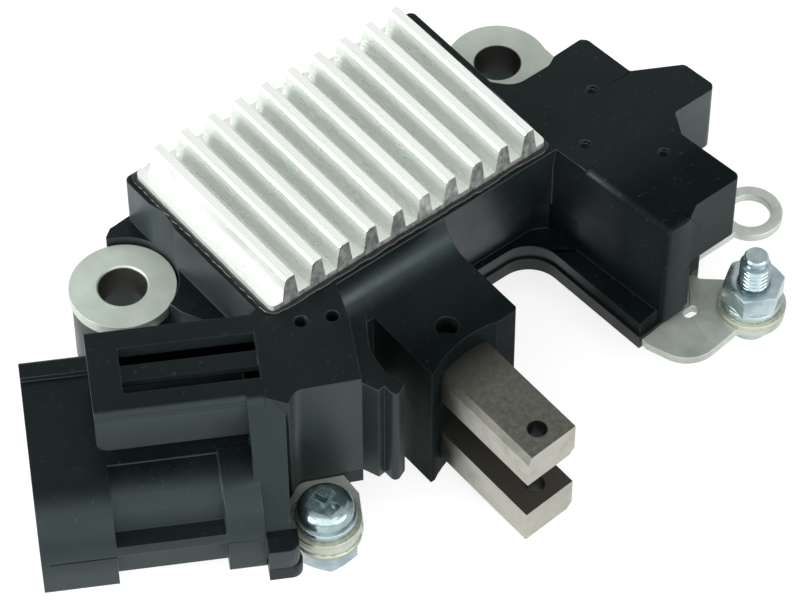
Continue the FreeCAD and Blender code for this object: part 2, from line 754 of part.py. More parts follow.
def make_base_layer():
    base = new_body("base_layer")
    edge = [(-size("body_left"), size("body_back"), size("body_corner")),
            (size("body_right"), size("body_back"), size("body_corner")), (size("body_right"), -8.6),
            *ARM_LOWER_RIGHT, (28.6, -40.0), (21.3, -40.9), BAY_END, (*BAY_CORNER, 4.5),
            (size("block_right"), BAY_CORNER[1]), (size("block_right"), BLOCK_BACK),
            (-size("block_left"), BLOCK_BACK), (-size("block_left"), -22.0), *reversed(PLATFORM_RIGHT),
            *reversed(PLATFORM_FRONT), (-31.2, -34.0, 1.5), (-33.2, -37.2), (-33.9, -41.0, 1.0),
            (*plug_point(size("foot_right"), size("foot_front")), size("foot_round")),
            plug_point(size("plug_root"), size("foot_front")), plug_point(size("plug_root"), size("plug_back")),
            (-size("body_left"), -15.0)]
    pad(base, "base_plate", outline(edge), "underside", "base_height")
    pocket(base, "stud_plate_seat", stud_plate_edges(), "stud_plate_top", "sizes.plate_thick")
    pocket(base, "screw_plate_seat", screw_plate_edges(), "plate_top", "sizes.plate_thick")
    strap = outline(strap_corners())
    pocket(base, "ring_strap_seat", strap, "plate_top", "sizes.plate_thick")
    return base


# Terminal plates

def stud_plate_edges():
    return outline([(20.4, -36.2), (20.2, -41.8), (22.4, -48.2, 4.6), (33.0, -47.0), (37.2, -42.0),
                    (32.6, -38.0), (32.2, -36.2)])


def screw_plate_edges():
    return outline([(-30.4, -31.0), (-31.0, -35.0), (-32.0, -38.0), (-26.6, -42.2), (-25.2, -41.8),
                    (-22.6, -37.6), (-22.2, -31.0)])


def strap_corners():
    half = size("strap_width") / 2
    return box_corners(size("strap_tail"), size("ring_y") - half, size("ring_x") - 3.2, size("ring_y") + half)


def add_plate_slot(plate):
    # Short round-ended slot between the stud and the arm
    x, y = WASHER_SEAT[0] - size("slot_from_stud"), WASHER_SEAT[1] + size("slot_back")
    half, wide = size("slot_long") / 2, size("slot_wide") / 2
    edges = outline(box_corners(x - half, y - wide, x + half, y + wide, wide * 0.99))
    pocket(plate, "stud_plate_slot", edges, "stud_plate_top", "sizes.plate_thick")


def make_plate(label, edges, low, high, x, y):
    plate = new_body(label)
    pad(plate, label + "_blank", edges, low, high)
    pad(plate, label + "_eye", circle(x, y, 2 * size("plate_end")), low, high)
    hole = circle(x, y, size("thread") + size("thread_gap"))
    pocket(plate, label + "_hole", hole, high, "sizes.plate_thick")
    return plate


def make_ring_terminal():
    ring = new_body("ring_terminal")
    pad(ring, "ring_blank", circle(size("ring_x"), size("ring_y"), size("ring_outer")), "plate_low", "plate_top")
    pad(ring, "ring_strap", outline(strap_corners()), "plate_low", "plate_top")
    pocket(ring, "ring_eye", circle(size("ring_x"), size("ring_y"), size("ring_inner")), "plate_top",
           "sizes.plate_thick")
    return ring


# Heat sink and the sealant around it

def make_heat_sink():
    sink = new_body("heat_sink")
    pad(sink, "sink_base", sink_outline(), "sink_under", "sink_top")
    tip, root = size("fin_tip") / 2, size("fin_root") / 2
    first = -size("body_left") + size("sink_inset_front") + size("fin_first")
    back = size("body_back") - size("sink_inset_back") - size("fin_back_gap")
    frame = upright((first, back, level("sink_top") - 0.2), (1, 0, 0))
    rise = size("fin_height") + 0.2
    edge = size("fin_edge")
    shape = [(-root, 0), (root, 0), (tip, rise), (-tip + edge, rise), (-tip, rise - edge)]
    fin = pad_from(sink, "fin", outline(shape), frame,
                   "sizes.body_front + sizes.body_back - sizes.sink_inset_front - sizes.sink_inset_back"
                   " - sizes.fin_back_gap")
    doc.recompute()
    row = sink.newObject("PartDesign::LinearPattern", "fin_row")
    row.Originals = [fin]
    row.Direction = (fin.Profile[0], ["H_Axis"])
    row.setExpression("Length", "sizes.fin_pitch * (sizes.fin_count - 1)")
    row.setExpression("Occurrences", "sizes.fin_count")
    sink.Tip = row
    return sink


def make_sealant():
    bead = new_body("sealant_bead")
    pad(bead, "bead_ring", sink_outline(size("bead_width")) + sink_outline(), "sink_under", "bead_top")
    return bead


# Circuit sealed in under the heat sink

def square(x, y, side_x, side_y):
    return outline(box_corners(x - side_x / 2, y - side_y / 2, x + side_x / 2, y + side_y / 2))


def circuit_solids():
    # The ceramic under the heat sink, and the two chips on its underside
    x = (size("body_right") - size("body_left")) / 2
    y = (size("body_back") - size("body_front")) / 2 + size("chip_row")
    return (("circuit_substrate", cavity_outline(size("substrate_gap")), "substrate_low", "sink_under"),
            ("control_chip", square(x - size("chip_spread"), y, size("chip_side"), size("chip_side")),
             "chip_low", "substrate_low"),
            ("output_transistor", square(x + size("chip_spread"), y, size("transistor_side"),
                                         size("transistor_side")), "chip_low", "substrate_low"))


def make_circuit():
    for label, edges, low, high in circuit_solids():
        pad(new_body(label), label + "_slab", edges, low, high)
    gel = new_body("potting_gel")
    pad(gel, "gel_fill", cavity_outline(), "cavity_floor", "sink_under")
    for label, edges, low, high in circuit_solids():
        pocket(gel, label + "_room", edges, high, f"sizes.{high} - sizes.{low}")
    for name, _ in brush_heights():
        drawing = sketch(gel, name + "_riser_room_outline", outline(riser_box(name)),
                         level_formula("cavity_floor", " + sizes.contact_tip"))
        cut_by(gel, name + "_riser_room", drawing, "sizes.contact_tip")


# Brushes, with a spring, a lead and a contact behind each

def make_brush(name, lift):
    half, tall = brush_section()
    under = size("brush_chamfer_under")
    corners = [(-half, 0), (half - under, 0), (half, under), (half, tall)]
    if name == "upper":
        corners += [(-half + size("brush_chamfer_top"), tall), (-half, tall - size("brush_chamfer_deep"))]
    else:
        corners += [(-half, tall)]
    brush = new_body(name + "_brush")
    tail = -size("brush_tip") + size("brush_length")
    frame = upright((-size("brush_centre"), tail, level("brush_low") + lift), (1, 0, 0))
    pad_from(brush, name + "_bar", outline(corners), frame, "sizes.brush_length")
    # The worn tip is a little skew to the brush
    tip = -size("brush_tip")
    wedge = outline([(-half - 1, tip - 1), (half + 1, tip - 1), (half + 1, tip + size("brush_skew")), (-half - 1, tip)])
    top = FreeCAD.Placement(FreeCAD.Vector(-size("brush_centre"), 0, level("brush_low") + lift + tall),
                            FreeCAD.Rotation())
    cut_from(brush, name + "_tip_skew", wedge, top, "sizes.brush_tall")
    hole = circle(0, tip + size("brush_hole_back"), size("brush_hole"))
    cut_from(brush, name + "_brush_hole", hole, top, "sizes.brush_tall")


def contact_front(name):
    return BLOCK_END if name == "upper" else BLOCK_END + size("contact_step")


def make_contact(name, lift):
    half, tall = brush_section(size("brush_play"))
    front = contact_front(name)
    contact = new_body(name + "_brush_contact")
    low = level("brush_low") + lift - size("brush_play")
    frame = upright((-size("brush_centre"), front + size("contact_thick"), low), (1, 0, 0))
    pad_from(contact, name + "_contact_face", outline(box_corners(-half, 0, half, tall)), frame,
             "sizes.contact_thick")
    riser = size("contact_riser") / 2
    high = level("cavity_floor") + size("contact_tip") - low
    strip = outline(box_corners(-riser, tall - 1, riser, high))
    pad_from(contact, name + "_contact_riser", strip, frame, "sizes.contact_thick")


def wire_ring(point, along):
    # Corners of the spring's wire where it passes a point of its coil
    along = along.normalize()
    outward = FreeCAD.Vector(point.x, point.y, 0)
    across = along.cross(outward).normalize()
    outward = across.cross(along).normalize()
    ring = []
    for turn in range(size("spring_sides")):
        angle = 2 * math.pi * turn / size("spring_sides")
        ring.append(point + (outward * math.cos(angle) + across * math.sin(angle)) * (size("spring_wire") / 2))
    return ring


def coil_solid(reach):
    # Coil along the vertical, from short straight runs of wire
    radius, runs = size("spring_coil") / 2, size("spring_turns") * size("spring_runs")
    points = []
    for step in range(runs + 1):
        turn = 2 * math.pi * step / size("spring_runs")
        points.append(FreeCAD.Vector(radius * math.cos(turn), radius * math.sin(turn), reach * step / runs))
    rings = []
    for step, point in enumerate(points):
        before, after = points[max(step - 1, 0)], points[min(step + 1, runs)]
        rings.append(wire_ring(point, after - before))
    faces = []
    for near, far in zip(rings, rings[1:]):
        for side in range(size("spring_sides")):
            follow = (side + 1) % size("spring_sides")
            for corners in ((near[side], near[follow], far[follow]), (near[side], far[follow], far[side])):
                faces.append(Part.Face(Part.makePolygon([*corners, corners[0]])))
    for ring in (rings[0], rings[-1]):
        faces.append(Part.Face(Part.makePolygon([*ring, ring[0]])))
    shell = Part.makeShell(faces)
    shell.sewShape()
    return Part.makeSolid(shell)


def make_spring(name, lift):
    # Coil spring between the brush tail and its contact
    tail = -size("brush_tip") + size("brush_length")
    margin = size("spring_wire") / 2 + size("spring_play")
    spring = doc.addObject("Part::Feature", name + "_brush_spring")
    spring.Shape = coil_solid(contact_front(name) - tail - 2 * margin)
    spring.Label = name + "_brush_spring"
    middle = level("brush_low") + lift + size("brush_tall") / 2
    start = FreeCAD.Vector(-size("brush_centre"), tail + margin, middle)
    spring.Placement = FreeCAD.Placement(start, FreeCAD.Rotation(FreeCAD.Vector(1, 0, 0), -90))


def make_lead(name, lift):
    # Braided lead from the brush to its contact, through the middle of the spring
    tail = -size("brush_tip") + size("brush_length")
    lead = doc.addObject("Part::Prism", name + "_brush_lead")
    lead.Label = name + "_brush_lead"
    lead.Polygon = 6
    lead.setExpression("Circumradius", "sizes.lead_thick / 2")
    lead.Height = contact_front(name) - tail
    middle = level("brush_low") + lift + size("brush_tall") / 2
    lead.Placement = FreeCAD.Placement(FreeCAD.Vector(-size("brush_centre"), tail, middle),
                                       FreeCAD.Rotation(FreeCAD.Vector(1, 0, 0), -90))


def make_blades():
    # Flat blades in the plug, each moulded into the root of the housing
    blades = []
    start = plug_point(size("plug_floor") - size("blade_embed"), 0)
    frame = upright((*start, level("underside")), (*PLUG_V, 0))
    travel = FreeCAD.Vector(*PLUG_U, 0) * size("blade_length")
    for box in blade_boxes():
        face = Part.Face(Part.Wire([edge.toShape() for edge in outline(box)]))
        blades.append(face.transformGeometry(frame.toMatrix()).extrude(travel))
    group = doc.addObject("Part::Feature", "connector_blades")
    group.Label = "connector_blades"
    group.Shape = Part.makeCompound(blades)


# Steel ears

def make_ears():
    disc, sleeve, bore = size("ear_disc") / 2, size("ear_sleeve") / 2, size("ear_bore") / 2
    chamfer = size("ear_bore_chamfer")
    bush = turned("left_ear_bush", [(bore, -size("ear_sleeve_depth")), (sleeve, -size("ear_sleeve_depth")),
                                    (sleeve, -size("ear_steel")), (disc, -size("ear_steel")), (disc, 0),
                                    (bore + chamfer, 0), (bore, -chamfer)])
    bush.setExpression("Placement.Base.x", "-sizes.ear_span / 2")
    plate = new_body("right_ear_plate")
    pad(plate, "ear_plate_blank", right_ear_outline(), "ear_seat", "ear_height")
    sketch_sleeve = sketch(plate, "ear_sleeve_outline", circle(EAR_X, 0, size("ear_sleeve")),
                           "-sizes.ear_sleeve_depth")
    tube = plate.newObject("PartDesign::Pad", "ear_sleeve_tube")
    tube.Profile = sketch_sleeve
    tube.setExpression("Length", "sizes.ear_sleeve_depth - sizes.ear_steel")
    pocket(plate, "ear_plate_bore", circle(EAR_X, 0, size("ear_bore")), "ear_height", "sizes.ear_sleeve_depth")


# Fasteners

def make_washer(label, diameter, thick, split=False):
    inner = (size("thread") + size("thread_gap")) / 2
    washer = turned(label, [(inner, 0), (diameter / 2, 0), (diameter / 2, thick), (inner, thick)])
    if split:
        half = size("washer_split") / 2
        top = FreeCAD.Placement(FreeCAD.Vector(0, 0, thick), FreeCAD.Rotation())
        cut_from(washer, label + "_split", outline(box_corners(-half, 0, half, diameter)), top,
                 "sizes.spring_washer_thick")
    return washer


def make_nut(label, outer_end):
    # Hexagon nut with its corners turned off at its outer end
    nut = new_body(label)
    blank = sketch(nut, label + "_hexagon", polygon(0, 0, 2 * size("nut_flats") / math.sqrt(3), 6))
    prism = nut.newObject("PartDesign::Pad", label + "_prism")
    prism.Profile = blank
    prism.setExpression("Length", "sizes.nut_height")
    corner = size("nut_flats") / math.sqrt(3)
    flat = size("nut_flats") / 2
    fall = (corner - flat + 0.1) * math.tan(math.radians(30))
    tall = size("nut_height")
    base, lean = (tall, -fall) if outer_end == "over" else (0, fall)
    ring = outline([(flat, base), (corner + 0.1, base), (corner + 0.1, base + lean)])
    groove = nut.newObject("PartDesign::Groove", label + "_chamfer")
    groove.Profile = sketch(nut, label + "_section", ring, frame=upright((0, 0, 0), (1, 0, 0)))
    groove.ReferenceAxis = (groove.Profile[0], ["V_Axis"])
    groove.Angle = 360
    doc.recompute()
    top = FreeCAD.Placement(FreeCAD.Vector(0, 0, tall), FreeCAD.Rotation())
    bore = circle(0, 0, size("thread") + size("nut_gap"))
    cut_from(nut, label + "_bore", bore, top, "sizes.nut_height")
    return nut


def make_screw_set():
    # Pan head screw down through the screw plate, with a nut below
    plain = make_washer("screw_plain_washer", size("washer"), size("washer_thick"))
    spring = make_washer("screw_spring_washer", size("spring_washer"), size("spring_washer_thick"), True)
    back = make_washer("screw_back_washer", size("washer"), size("washer_thick"))
    nut = make_nut("screw_nut", "under")
    grip = size("plate_thick") + 2 * size("washer_thick") + size("spring_washer_thick")
    shank = grip + size("nut_height") + size("screw_tail")
    head, tall = size("screw_head") / 2, size("screw_head_height")
    radius = size("thread") / 2
    screw = turned("terminal_screw", [(0, -shank), (radius, -shank), (radius, 0),
                                      (head, 0), (head, tall - 1.0), (head - 0.3, tall - 0.45),
                                      (head - 0.95, tall), (0, tall)])
    top = FreeCAD.Placement(FreeCAD.Vector(0, 0, tall), FreeCAD.Rotation(FreeCAD.Vector(0, 0, 1), 20))
    half, wide = size("screw_recess") / 2, size("screw_recess_wide") / 2
    for name, x, y in (("along", half, wide), ("across", wide, half)):
        cut_from(screw, "cross_recess_" + name, outline(box_corners(-x, -y, x, y)), top,
                 "sizes.screw_recess_deep")
    x, y = "sizes.screw_x", "sizes.screw_y"
    place(plain, x, y, level_formula("plate_top"))
    place(spring, x, y, level_formula("plate_top", " + sizes.washer_thick"))
    place(screw, x, y, level_formula("plate_top", " + sizes.washer_thick + sizes.spring_washer_thick"))
    place(back, x, y, level_formula("plate_low", " - sizes.washer_thick"))
    place(nut, x, y, level_formula("plate_low", " - sizes.washer_thick - sizes.nut_height"))


def make_stud_set():
    # Stud up through its plate, held by a nut on a spring washer
    low = size("stud_plate_low")
    reach = size("stud_top") - low
    head, radius = size("stud_head") / 2, size("thread") / 2
    under = -size("stud_head_height")
    stud = turned("terminal_stud", [(0, under), (head, under), (head, 0), (radius, 0),
                                    (radius, reach - 1.6), (radius - 0.45, reach - 1.2),
                                    (radius - 0.45, reach - 0.2), (radius - 0.65, reach), (0, reach)])
    plain = make_washer("stud_plain_washer", size("washer"), size("washer_thick"))
    spring = make_washer("stud_spring_washer", size("spring_washer"), size("spring_washer_thick"), True)
    nut = make_nut("stud_nut", "over")
    x, y = "sizes.stud_x", "sizes.stud_y"
    place(stud, x, y, level_formula("stud_plate_low"))
    place(plain, x, y, level_formula("stud_plate_top"))
    place(spring, x, y, level_formula("stud_plate_top", " + sizes.washer_thick"))
    place(nut, x, y, level_formula("stud_plate_top", " + sizes.washer_thick + sizes.spring_washer_thick"))
    nut.setExpression("Placement.Rotation.Angle", "sizes.nut_turn")


# Build, check and write every piece

def build():
    make_housing()
    make_base_layer()
    make_heat_sink()
    make_sealant()
    make_circuit()
    for name, lift in brush_heights():
        make_brush(name, lift)
        make_spring(name, lift)
        make_lead(name, lift)
        make_contact(name, lift)
    make_blades()
    make_ears()
    make_plate("screw_terminal_plate", screw_plate_edges(), "plate_low", "plate_top", size("screw_x"), size("screw_y"))
    add_plate_slot(make_plate("stud_terminal_plate", stud_plate_edges(), "stud_plate_low", "stud_plate_top",
                              *WASHER_SEAT))
    make_ring_terminal()
    make_screw_set()
    make_stud_set()
    doc.recompute()


def pieces():
    return [item for item in doc.Objects
            if item.TypeId == "PartDesign::Body" or item.TypeId.startswith("Part::")]


def check(items):
    for item in doc.Objects:
        if "Invalid" in item.State or "Error" in item.State:
            raise RuntimeError(f"{item.Name} failed: {item.State}")
    for item in items:
        if item.Shape.isNull() or not item.Shape.isValid():
            raise RuntimeError(f"{item.Label} has no valid shape")


def export(items):
    os.makedirs("parts", exist_ok=True)
    for item in items:
        item.Shape.exportStep(f"parts/{item.Label}.step")
        print(item.Label, len(item.Shape.Solids), round(item.Shape.Volume, 2))


build()
check(pieces())
export(pieces())
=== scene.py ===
import json
import math
import bpy
from mathutils import Euler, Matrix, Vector, noise


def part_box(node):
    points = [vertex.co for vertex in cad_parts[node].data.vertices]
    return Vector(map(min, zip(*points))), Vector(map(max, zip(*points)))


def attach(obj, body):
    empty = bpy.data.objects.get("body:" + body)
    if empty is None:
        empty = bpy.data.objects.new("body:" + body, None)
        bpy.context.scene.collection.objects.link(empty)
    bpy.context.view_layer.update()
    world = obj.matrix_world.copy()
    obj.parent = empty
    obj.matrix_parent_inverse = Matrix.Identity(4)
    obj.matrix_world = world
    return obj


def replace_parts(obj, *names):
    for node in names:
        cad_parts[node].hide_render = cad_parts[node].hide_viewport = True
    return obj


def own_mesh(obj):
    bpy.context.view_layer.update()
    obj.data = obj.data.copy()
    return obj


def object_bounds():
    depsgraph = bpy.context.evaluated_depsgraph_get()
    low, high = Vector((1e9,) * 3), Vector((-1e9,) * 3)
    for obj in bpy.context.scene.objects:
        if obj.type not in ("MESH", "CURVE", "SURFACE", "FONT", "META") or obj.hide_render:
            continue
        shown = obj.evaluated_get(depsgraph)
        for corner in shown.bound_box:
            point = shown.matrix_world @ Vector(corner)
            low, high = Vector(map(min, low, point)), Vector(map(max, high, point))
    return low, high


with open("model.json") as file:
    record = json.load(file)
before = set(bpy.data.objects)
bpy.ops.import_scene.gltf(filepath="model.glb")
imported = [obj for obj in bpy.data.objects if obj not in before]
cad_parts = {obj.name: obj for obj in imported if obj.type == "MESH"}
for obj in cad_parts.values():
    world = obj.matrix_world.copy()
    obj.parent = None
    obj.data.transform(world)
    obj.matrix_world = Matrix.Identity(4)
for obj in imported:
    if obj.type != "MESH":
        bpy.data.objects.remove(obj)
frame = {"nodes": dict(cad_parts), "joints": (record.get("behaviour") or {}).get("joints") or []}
cad_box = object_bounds()

# Lengths are in millimetres where no comment says metres
MM = 0.001
NODES = frame["nodes"]

# Camera, fitted to the corners of the heat sink and the plug housing in the photograph; angles in degrees
CAMERA_PLACE = (-191.16 * MM, -257.38 * MM, 362.83 * MM)
CAMERA_TURN = (39.507, 0.122, -38.682)
LENS = 171.0
SENSOR = 36.0
NEAR_CLIP = 10

# Room: its brightness at two heights of the direction looked in, near the horizon and overhead
SKY_HEIGHTS = (0.2, 0.75)
SKY_LOW = 0.95
SKY_HIGH = 0.14
BACKDROP_GREY = (0.8, 0.8, 0.8, 1)

# Softboxes: place, width and height in metres, and power in watts
LIT_PLACE = (0, -0.02, 0)
SOFTBOXES = {
    "left_softbox": ((-1.0, 0.25, 0.50), 0.8, 0.5, 11.5),
    "upper_softbox": ((-0.50, -0.66, 0.95), 1.6, 1.6, 9.5),
    "front_softbox": ((0.35, -1.05, 0.45), 0.9, 0.5, 6.0),
}

# Floor, just under the part: as it lights the part, and as it is seen
FLOOR_REACH = 3000
FLOOR_GAP = 0.02
FLOOR_LIT_GREY = (0.82, 0.82, 0.82, 1)
FLOOR_SEEN_GREY = (0.40, 0.40, 0.40, 1)
FLOOR_GLOW = 0.78

# Plug's own axes in plan: along it towards the mouth, and across it
PLUG_CORNER = (-42.03, -9.01)
PLUG_ALONG = (-0.866025, 0.5)
PLUG_ACROSS = (-0.5, -0.866025)
UNDERSIDE = -11.7

# Boxes on the plug's own axes: ranges along it, across it and above the underside
LATCH_ROOM = ((-20.3, -1.2), (1.4, 11.5), (11.7, 18.3))
HOOD_FRONT = ((-18.2, 0.2), (12.6, 13.2), (13.2, 18.8))

# Holes whose walls get painted shade: their upright axes in plan, and how far the painted shade reaches
EAR_HOLES = ((-30.2, 0), (30.2, 0))
EAR_HOLE_REACH = 3.12
BRUSH_HOLE = (-4.935, -49.92)
BRUSH_HOLE_REACH = 1.3
HOLE_BLUR = 0.05
BOX_BLUR = 0.01


# Materials

def map_range(tree, value, low, high, out_low, out_high):
    node = tree.nodes.new("ShaderNodeMapRange")
    limits = {"From Min": low, "From Max": high, "To Min": out_low, "To Max": out_high}
    for name, number in limits.items():
        node.inputs[name].default_value = number
    tree.links.new(value, node.inputs["Value"])
    return node.outputs["Result"]


class Material:
    """A node material with short helpers for its usual parts"""

    def __init__(self, name):
        self.block = bpy.data.materials.new(name)
        self.block.use_nodes = True
        self.tree = self.block.node_tree
        self.shader = self.tree.nodes["Principled BSDF"]
        coordinates = self.node("ShaderNodeTexCoord")
        self.place = coordinates.outputs["Object"]
        self.normal = coordinates.outputs["Normal"]

    def node(self, kind, **settings):
        made = self.tree.nodes.new(kind)
        for key, value in settings.items():
            setattr(made, key, value)
        return made

    def link(self, start, end):
        self.tree.links.new(start, end)

    def set(self, **values):
        """Values that are the same all over, on the shader's own sockets"""
        for key, value in values.items():
            self.shader.inputs[key.replace("_", " ")].default_value = value

    def drive(self, socket, value):
        """Value that changes over the surface"""
        self.link(value, self.shader.inputs[socket])

    def noise(self, scale, detail=3.0, roughness=0.5, stretch=(1, 1, 1), turn=(0, 0, 0)):
        mapping = self.node("ShaderNodeMapping")
        mapping.inputs["Scale"].default_value = stretch
        mapping.inputs["Rotation"].default_value = turn
        self.link(self.place, mapping.inputs["Vector"])
        texture = self.node("ShaderNodeTexNoise")
        texture.inputs["Scale"].default_value = scale
        texture.inputs["Detail"].default_value = detail
        texture.inputs["Roughness"].default_value = roughness
        self.link(mapping.outputs["Vector"], texture.inputs["Vector"])
        return texture.outputs["Fac"]

    def span(self, value, low, high, out_low, out_high):
        return map_range(self.tree, value, low, high, out_low, out_high)

    def fade(self, value, start, end):
        """0 at the start and 1 at the end, which may be the lower of the two"""
        return self.span(value, start, end, 0, 1)

    def part(self, vector, axis):
        split = self.node("ShaderNodeSeparateXYZ")
        self.link(vector, split.inputs["Vector"])
        return split.outputs[axis]

    def past(self, axis, start, end):
        """0 to 1 as the place along one of the model's own axes goes from start to end"""
        return self.fade(self.part(self.place, axis), start * MM, end * MM)

    def facing(self, axis, start, end):
        """0 to 1 as the surface's direction along an axis, from -1 to 1, goes from start to end"""
        return self.fade(self.part(self.normal, axis), start, end)

    def combine(self, operation, first, second):
        node = self.node("ShaderNodeMath", operation=operation)
        self.link(first, node.inputs[0])
        self.link(second, node.inputs[1])
        return node.outputs["Value"]

    def both(self, first, second):
        return self.combine("MULTIPLY", first, second)

    def either(self, first, second):
        return self.combine("MAXIMUM", first, second)

    def between(self, direction, low, high):
        """1 where the place along a direction lies between two distances, and 0 elsewhere"""
        along = self.node("ShaderNodeVectorMath", operation="DOT_PRODUCT")
        along.inputs[1].default_value = direction
        self.link(self.place, along.inputs[0])
        distance = along.outputs["Value"]
        return self.both(self.fade(distance, (low - BOX_BLUR) * MM, (low + BOX_BLUR) * MM),
                         self.fade(distance, (high + BOX_BLUR) * MM, (high - BOX_BLUR) * MM))

    def in_plug_box(self, alongs, acrosses, heights):
        """1 inside a box on the plug's own axes, and 0 outside"""
        inside = self.between((0, 0, 1), *(UNDERSIDE + height for height in heights))
        for axis, ends in ((PLUG_ALONG, alongs), (PLUG_ACROSS, acrosses)):
            start = PLUG_CORNER[0] * axis[0] + PLUG_CORNER[1] * axis[1]
            inside = self.both(inside, self.between((*axis, 0), *(start + end for end in ends)))
        return inside

    def near_axis(self, centre, radius):
        """1 close to an upright axis, and 0 beyond its radius"""
        plan = self.node("ShaderNodeVectorMath", operation="MULTIPLY")
        plan.inputs[1].default_value = (1, 1, 0)
        self.link(self.place, plan.inputs[0])
        apart = self.node("ShaderNodeVectorMath", operation="DISTANCE")
        apart.inputs[1].default_value = (centre[0] * MM, centre[1] * MM, 0)
        self.link(plan.outputs["Vector"], apart.inputs[0])
        return self.fade(apart.outputs["Value"], (radius + HOLE_BLUR) * MM, (radius - HOLE_BLUR) * MM)

    def mix(self, amount, first, second):
        """From one colour or socket to another"""
        node = self.node("ShaderNodeMix", data_type="RGBA")
        self.link(amount, node.inputs["Factor"])
        for socket, colour in ((node.inputs["A"], first), (node.inputs["B"], second)):
            if hasattr(colour, "links"):
                self.link(colour, socket)
            else:
                socket.default_value = (*colour, 1)
        return node.outputs["Result"]

    def bump(self, height, strength, distance, below=None):
        node = self.node("ShaderNodeBump")
        node.inputs["Strength"].default_value = strength
        node.inputs["Distance"].default_value = distance * MM
        self.link(height, node.inputs["Height"])
        if below is not None:
            self.link(below, node.inputs["Normal"])
        self.drive("Normal", node.outputs["Normal"])
        return node.outputs["Normal"]


def moulded_plastic(name, dark, pale, smooth, rough):
    """Satin black glass-filled plastic: cloudy and finely grained, darker on top than on its walls, which is
    painted light, with painted shade under the hood and round the brush block
    """
    # Colours for painted light on some walls, painted shade under the hood, and grey specks
    painted_lit_wall_black = (0.0125, 0.017, 0.018)
    painted_lit_side_black = (0.027, 0.035, 0.037)
    painted_lit_arm_end_black = (0.030, 0.036, 0.036)
    unlit_black = (0.0008, 0.0010, 0.0010)
    speck_grey = (0.045, 0.058, 0.062)
    sheen, brush_block_sheen = 0.40, 0.08
    unlit_share, top_share = 0.15, 0.42
    made = Material(name)
    skin = made.mix(made.fade(made.noise(70, 5, 0.6), 0.35, 0.65), dark, pale)
    # Painted light: the walls on the left of the body are painted lighter than the tops
    upright = made.facing("Z", 0.8, 0.3)
    skin = made.mix(made.both(upright, made.past("X", -14, -22)), skin, painted_lit_wall_black)
    # Painted light: the body's left wall and the front wall of the hood are painted lighter still
    body_left = made.both(made.facing("X", -0.93, -0.97), made.between((1, 0, 0), -26, -19))
    skin = made.mix(made.either(body_left, made.in_plug_box(*HOOD_FRONT)), skin, painted_lit_side_black)
    # Painted light: the walls at the far end of the arm are painted lighter
    arm_end = made.both(made.facing("X", -0.6, -0.3), made.past("X", 22, 26))
    skin = made.mix(made.both(upright, arm_end), skin, painted_lit_arm_end_black)
    unlit = made.in_plug_box(*LATCH_ROOM)
    skin = made.mix(unlit, skin, unlit_black)
    specks = made.span(made.noise(1500, 2, 0.5), 0.66, 0.74, 0, 0.3)
    made.drive("Base Color", made.mix(specks, skin, speck_grey))
    # Round the brush block: rougher, and with less sheen, which is painted shade
    brush_block = made.both(made.past("Y", -26, -34), made.past("X", -19, -15))
    grainy = made.span(made.noise(130, 5, 0.65), 0.3, 0.7, smooth, rough)
    made.drive("Roughness", made.combine("ADD", grainy, made.span(brush_block, 0, 1, 0, 0.25)))
    shine = made.both(made.span(brush_block, 0, 1, sheen, brush_block_sheen),
                      made.span(unlit, 0, 1, 1, unlit_share))
    # Painted shade: less sheen on the tops than on the walls
    on_top = made.span(made.part(made.normal, "Z"), 0.85, 0.98, 1, top_share)
    made.drive("Specular IOR Level", made.both(shine, on_top))
    made.set(Specular_Tint=(0.76, 0.98, 1.0, 1))
    grain = made.bump(made.noise(2400, 3), 0.20, 0.02)
    made.bump(made.noise(150, 4), 0.30, 0.06, grain)
    return made.block


def base_plastic():
    """The lower layer, a touch duller and browner than the housing"""
    made = Material("base_plastic")
    made.drive("Base Color", made.mix(made.noise(120, 4), (0.0040, 0.0052, 0.0052), (0.010, 0.012, 0.012)))
    made.drive("Roughness", made.span(made.noise(200, 5, 0.6), 0.3, 0.7, 0.36, 0.52))
    made.set(Specular_IOR_Level=0.25, Specular_Tint=(0.85, 0.98, 1.0, 1))
    made.bump(made.noise(2200, 2), 0.2, 0.02)
    return made.block


def cast_aluminium():
    """Pale pressed aluminium: brushed along the fins, with dark pitted ends at the front, painted shade on
    the fins' inner flanks and painted highlights on the chamfers facing up and left
    """
    cloud_grey = (0.76, 0.80, 0.75)
    painted_flank_shade_grey = (0.66, 0.70, 0.66)
    painted_highlight_white = (1.0, 1.0, 1.0)
    made = Material("cast_aluminium")
    brushed = made.noise(420, 5, 0.65, (1, 0.05, 1))
    skin = made.mix(brushed, (0.84, 0.88, 0.83), (0.93, 0.96, 0.92))
    cloud = made.span(made.noise(110, 4, 0.6, (1, 0.3, 1)), 0.35, 0.7, 0, 0.4)
    skin = made.mix(cloud, skin, cloud_grey)
    # Painted shade: the left flanks of the fins after the first are greyer
    on_fins = made.span(made.part(made.place, "X"), -22 * MM, -20 * MM, 0, 0.75)
    skin = made.mix(made.both(made.facing("X", -0.8, -0.95), on_fins), skin, painted_flank_shade_grey)
    pits = made.fade(made.noise(900, 5, 0.75, (1, 1, 0.5)), 0.40, 0.66)
    pressed_end = made.mix(pits, (0.20, 0.215, 0.20), (0.56, 0.59, 0.55))
    skin = made.mix(made.facing("Y", -0.75, -0.95), skin, pressed_end)
    # Painted highlight: the chamfers that face up and to the left are white
    upper_left = made.both(made.facing("X", -0.55, -0.65), made.facing("Z", 0.5, 0.6))
    made.drive("Base Color", made.mix(upper_left, skin, painted_highlight_white))
    made.set(Metallic=0.5)
    made.drive("Roughness", made.span(made.noise(600, 4, 0.5, (1, 0.2, 1)), 0.3, 0.7, 0.22, 0.36))
    grain = made.bump(brushed, 0.35, 0.03)
    made.bump(made.noise(240, 3, 0.5, (1, 0.25, 1)), 0.15, 0.05, grain)
    return made.block


